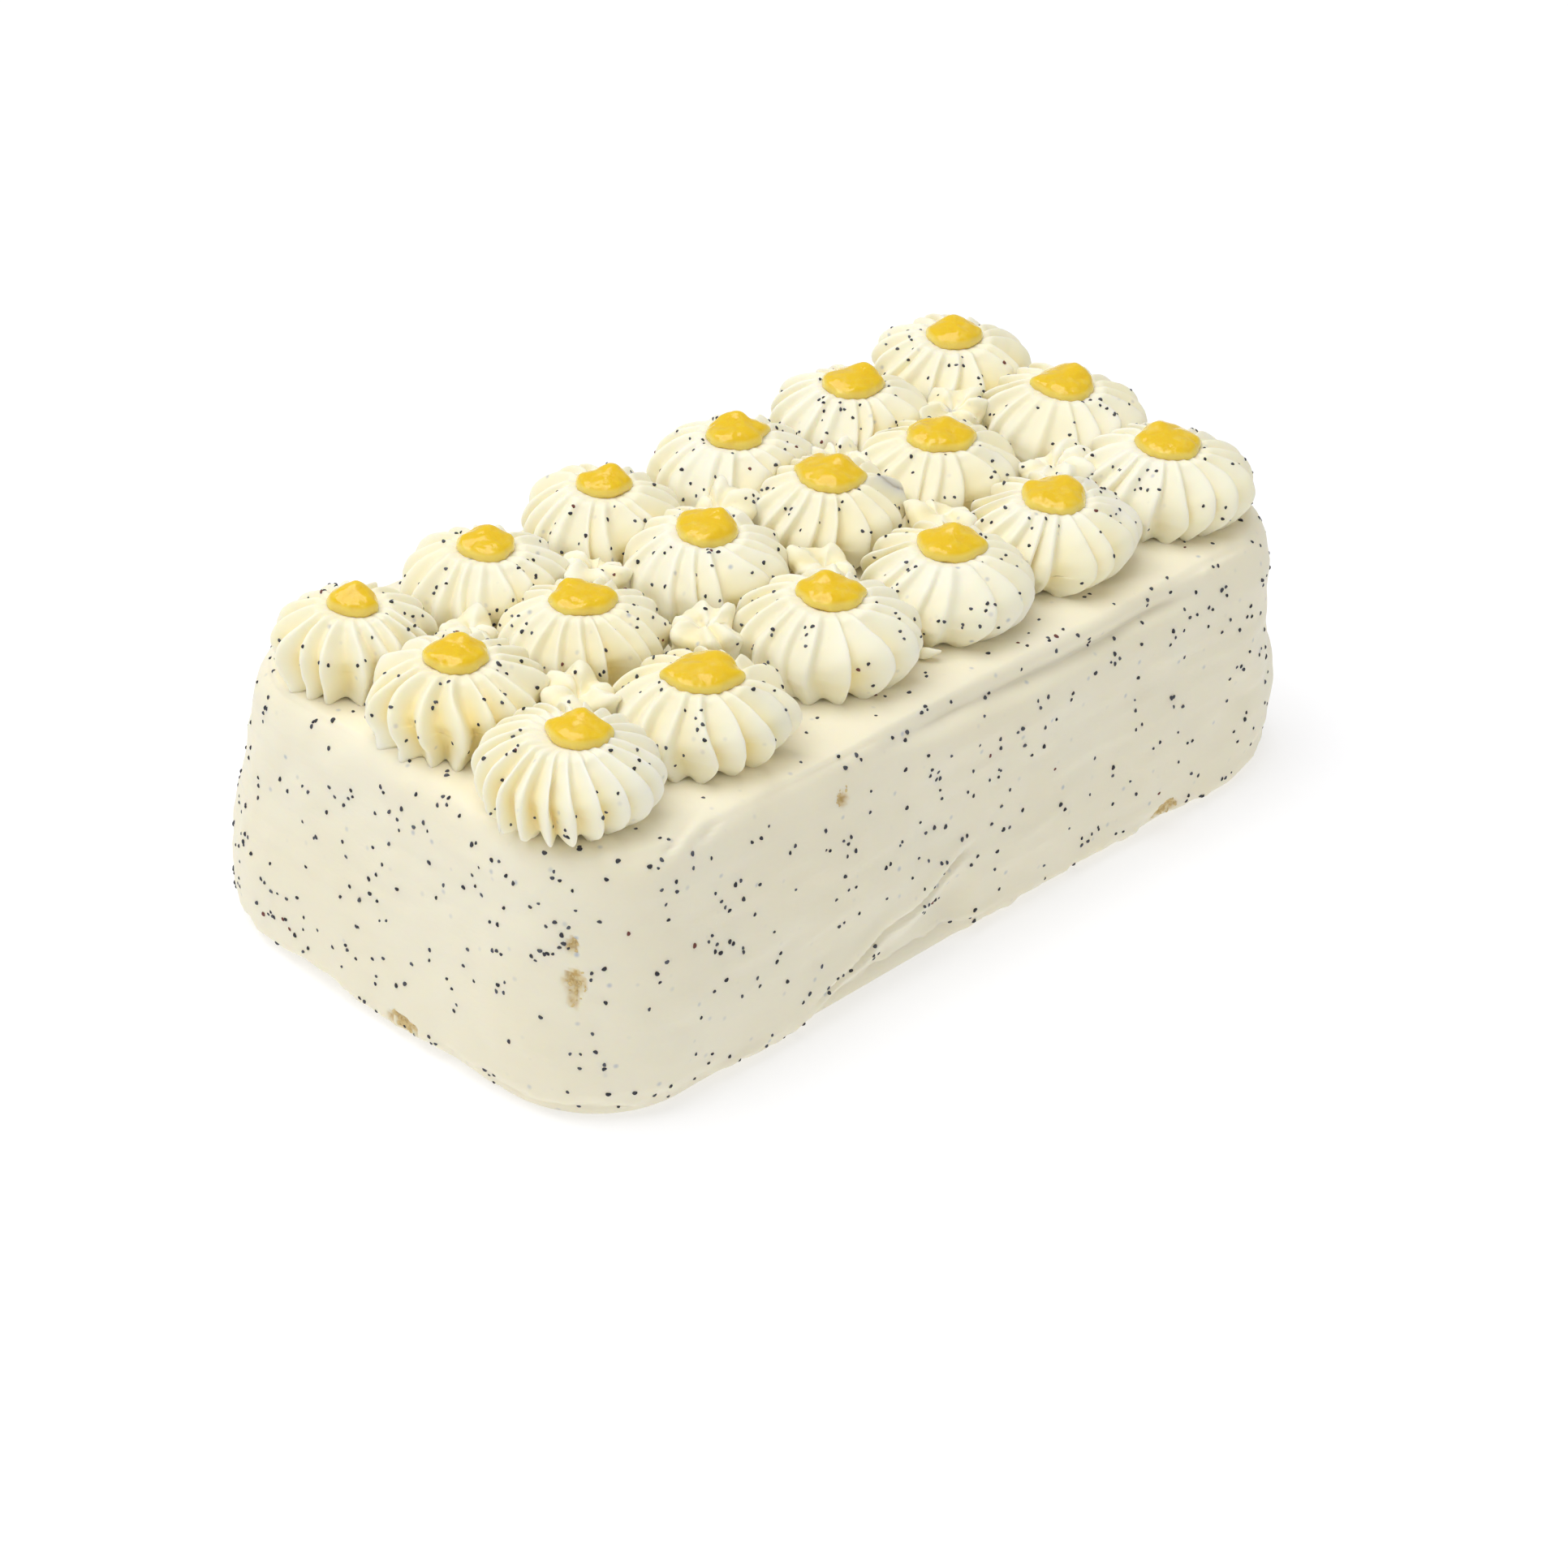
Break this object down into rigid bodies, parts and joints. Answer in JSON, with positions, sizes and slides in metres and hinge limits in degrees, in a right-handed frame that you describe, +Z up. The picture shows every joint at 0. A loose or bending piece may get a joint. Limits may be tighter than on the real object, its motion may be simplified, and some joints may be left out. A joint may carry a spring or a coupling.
{
  "type": "lemon poppy seed cake",
  "caption": "Rounded loaf cake coated in poppy seed buttercream, with rows of piped rosettes that each hold a drop of lemon curd.",
  "frame": {"origin": "middle of the footprint at the underside, on the surface the cake stands on", "axes": "+X along the loaf, +Y across it, away from the long side that faces the camera, +Z up"},
  "size_m": [0.2703, 0.1476, 0.0948],
  "materials": {
    "buttercream_coat": "satin, spread with a spatula",
    "piped_buttercream": "satin, piped",
    "lemon_curd": "wet gloss",
    "poppy_seed": "matt",
    "sponge_crumb": "matt, open crumb"
  },
  "bodies": {
    "root": {"cake_body": "buttercream_coat", "cream_curl": "piped_buttercream", "rosette_1_1": "piped_buttercream", "rosette_1_2": "piped_buttercream", "rosette_1_3": "piped_buttercream", "rosette_1_4": "piped_buttercream", "rosette_1_5": "piped_buttercream", "rosette_1_6": "piped_buttercream", "rosette_2_1": "piped_buttercream", "rosette_2_2": "piped_buttercream", "rosette_2_3": "piped_buttercream", "rosette_2_4": "piped_buttercream", "rosette_2_5": "piped_buttercream", "rosette_2_6": "piped_buttercream", "rosette_3_1": "piped_buttercream", "rosette_3_2": "piped_buttercream", "rosette_3_3": "piped_buttercream", "rosette_3_4": "piped_buttercream", "rosette_3_5": "piped_buttercream", "rosette_3_6": "piped_buttercream", "piped_star_1_1": "piped_buttercream", "piped_star_1_2": "piped_buttercream", "piped_star_1_3": "piped_buttercream", "piped_star_1_4": "piped_buttercream", "piped_star_1_5": "piped_buttercream", "piped_star_2_1": "piped_buttercream", "piped_star_2_2": "piped_buttercream", "piped_star_2_3": "piped_buttercream", "piped_star_2_4": "piped_buttercream", "piped_star_2_5": "piped_buttercream", "lemon_curd_1_1": "lemon_curd", "lemon_curd_1_2": "lemon_curd", "lemon_curd_1_3": "lemon_curd", "lemon_curd_1_4": "lemon_curd", "lemon_curd_1_5": "lemon_curd", "lemon_curd_1_6": "lemon_curd", "lemon_curd_2_1": "lemon_curd", "lemon_curd_2_2": "lemon_curd", "lemon_curd_2_3": "lemon_curd", "lemon_curd_2_4": "lemon_curd", "lemon_curd_2_5": "lemon_curd", "lemon_curd_2_6": "lemon_curd", "lemon_curd_3_1": "lemon_curd", "lemon_curd_3_2": "lemon_curd", "lemon_curd_3_3": "lemon_curd", "lemon_curd_3_4": "lemon_curd", "lemon_curd_3_5": "lemon_curd", "lemon_curd_3_6": "lemon_curd"}
  },
  "joints": []
}
